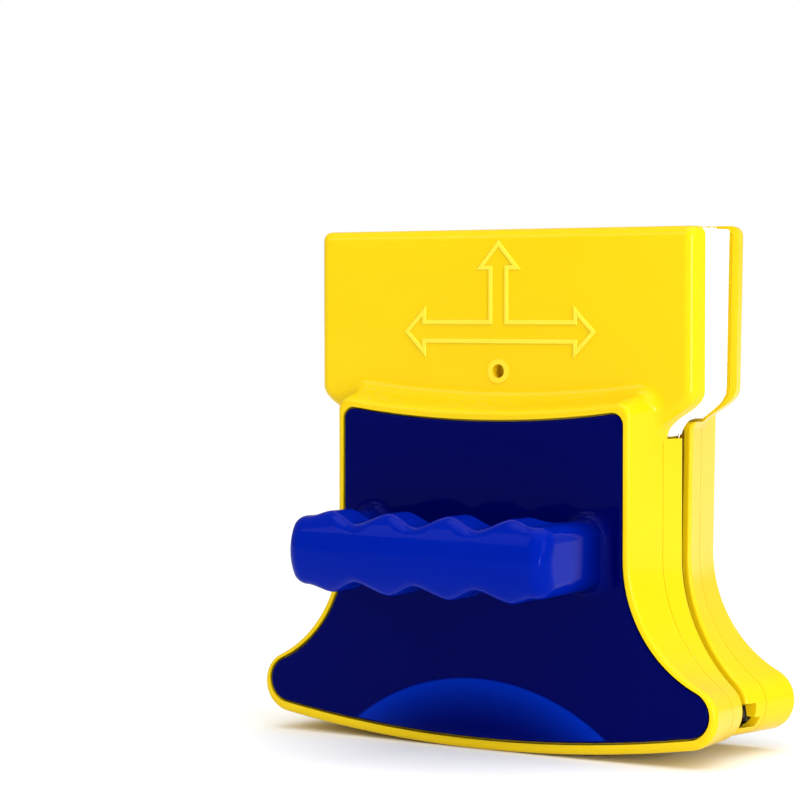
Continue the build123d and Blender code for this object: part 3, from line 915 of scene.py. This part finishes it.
    def build(self) -> None:
        """Build, dress and place the whole pad."""
        body = f"{self.half.value}_pad"
        foam, cloth, hem = self.build_foam(), self.build_cloth(), self.build_hem()
        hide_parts(f"{self.half.value}_pad_core")
        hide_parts(f"{self.half.value}_pad_face")
        for piece, finish in ((foam, "pad_foam"), (cloth, "pad_cloth"), (hem, "pad_cloth")):
            self.finishes.dress(piece, finish)
            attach(piece, body)
        log.info("%s pad: %d stitched faces", self.half.value, len(hem.data.polygons))


@dataclass
class Housing:
    """One half's moulded and metal parts, which keep their CAD shape."""

    half: Half
    finishes: Finishes
    slots: dict[str, str] = field(
        default_factory=lambda: {
            "shell": "yellow_plastic",
            "base_plate": "yellow_plastic",
            "magnet_cover": "yellow_plastic",
            "cover": "blue_plastic",
            "grip_back": "blue_plastic",
            "blade_bottom": "blade_rubber",
            "blade_left": "blade_rubber",
            "blade_right": "blade_rubber",
            "hook_strips": "hook_tape",
            "yoke_plate": "steel",
            "base_screws": "steel",
            "cover_screws": "steel",
            "grip_screws": "steel",
            "magnets": "magnet",
        }
    )

    def dress(self, nodes: dict[str, bpy.types.Object]) -> None:
        """Give every CAD node of this half its finish.

        Args:
            nodes: the frame's nodes by name.
        """
        for part, finish in self.slots.items():
            node = nodes.get(f"{self.half.value}_{part}")
            if node is not None:
                self.finishes.dress(node, finish)
                log.info("%s %s: %s", self.half.value, part, finish)


@dataclass
class Studio:
    """Pale floor, soft lights and the camera.

    Attributes:
        finishes: the finishes, of which the floor wears the paper.
        parting_y: place of the plane between the halves.
        azimuth: how far the camera stands round to the object's right, in degrees.
        distance: from the camera to the object's middle.
        eye_height: height of the camera.
        aim: how far right and down of straight ahead the camera looks, per unit of distance.
        lens: focal length in millimetres on the sensor.
        sensor: width of the sensor in millimetres.
        air: strength of the white surround as a light; the camera sees it as 1.
        overhead: strength of the soft light from above.
    """

    finishes: Finishes
    parting_y: float
    azimuth: float = 31.2
    distance: float = 0.812
    eye_height: float = 0.1262
    aim: Pair = (-0.0448313, 0.0322815)
    lens: float = 124.065
    sensor: float = 36.0
    air: float = 0.4
    overhead: float = 2.4

    def build_floor(self) -> None:
        """Wide flat floor that reaches past every view."""
        work = bmesh.new()
        bmesh.ops.create_circle(work, cap_ends=True, cap_tris=False, segments=96, radius=14.0)
        floor = finish_mesh("studio_floor", work)
        self.finishes.dress(floor, "studio_paper")

    @staticmethod
    def softbox(name: str, place: Triple, size: Pair, power: float) -> None:
        """Rectangular area light that points at the object's middle.

        Args:
            name: the light's name.
            place: where it stands.
            size: width and height.
            power: watts.
        """
        middle = Vector((0.0, 0.0, 0.07))
        data = bpy.data.lights.new(name, "AREA")
        data.shape, data.size, data.size_y = "RECTANGLE", size[0], size[1]
        data.energy = power
        lamp = bpy.data.objects.new(name, data)
        lamp.location = place
        lamp.rotation_euler = (middle - Vector(place)).to_track_quat("-Z", "Y").to_euler()
        bpy.context.scene.collection.objects.link(lamp)

    def build_lights(self) -> None:
        """Even white surround with a key from the right and a strip for the handle."""
        world = bpy.data.worlds.new("studio_air")
        world.use_nodes = True
        bench = Bench(world.node_tree)
        white = world.node_tree.nodes["Background"]
        white.inputs["Color"].default_value = (1.0, 1.0, 1.0, 1.0)
        seen = bench.add("LightPath")
        share = bench.spread(seen.outputs["Is Camera Ray"], 0.0, 1.0, (self.air, 1.0))
        bench.join(share, white.inputs["Strength"])
        bpy.context.scene.world = world
        sun = bpy.data.lights.new("overhead", "SUN")
        sun.energy, sun.angle = self.overhead, math.radians(80.0)
        lamp = bpy.data.objects.new("overhead", sun)
        lamp.rotation_euler = Vector((-0.25, 0.1, -1.0)).to_track_quat("-Z", "Y").to_euler()
        bpy.context.scene.collection.objects.link(lamp)
        self.softbox("key_right", (1.3, -0.35, 0.55), (0.5, 0.6), 5.0)
        self.softbox("upper_left", (-0.7, -1.0, 0.95), (0.7, 0.5), 3.5)
        self.softbox("handle_strip", (0.95, -0.6, 0.16), (0.008, 0.3), 5.0)

    def build_camera(self) -> None:
        """Camera level with the pads, to the object's right."""
        turn = math.radians(self.azimuth)
        ahead = Vector((-math.sin(turn), math.cos(turn), 0.0))
        right = Vector((math.cos(turn), math.sin(turn), 0.0))
        across, down = self.aim
        data = bpy.data.cameras.new("studio_camera")
        data.lens = self.lens
        data.sensor_width = self.sensor
        data.clip_start, data.clip_end = 0.01, 50.0
        camera = bpy.data.objects.new("studio_camera", data)
        camera.location = Vector((0.0, self.parting_y, self.eye_height)) - ahead * self.distance
        aim = ahead + right * across - Vector((0.0, 0.0, 1.0)) * down
        camera.rotation_euler = aim.to_track_quat("-Z", "Y").to_euler()
        bpy.context.scene.collection.objects.link(camera)
        bpy.context.scene.camera = camera

    def build(self) -> None:
        """Build the whole studio."""
        self.build_floor()
        self.build_lights()
        self.build_camera()
        bpy.context.scene.view_settings.view_transform = "Standard"
        log.info("studio: camera at %s", tuple(round(v, 3) for v in bpy.context.scene.camera.location))


def main() -> None:
    """Load the frame, build and dress every piece, and report each one."""
    logging.basicConfig(level=logging.INFO, format="%(message)s")
    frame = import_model()
    front_face, rear_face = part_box("front_pad_face"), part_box("rear_pad_face")
    parting_y = (front_face[1].y + rear_face[0].y) / 2
    panel_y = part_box("front_shell")[0].y
    finishes = Finishes()
    finishes.build(parting_y, panel_y)
    for half in Half:
        Housing(half, finishes).dress(frame["nodes"])
        Pad(half, finishes).build()
    Studio(finishes, parting_y).build()


if __name__ == "__main__":
    main()
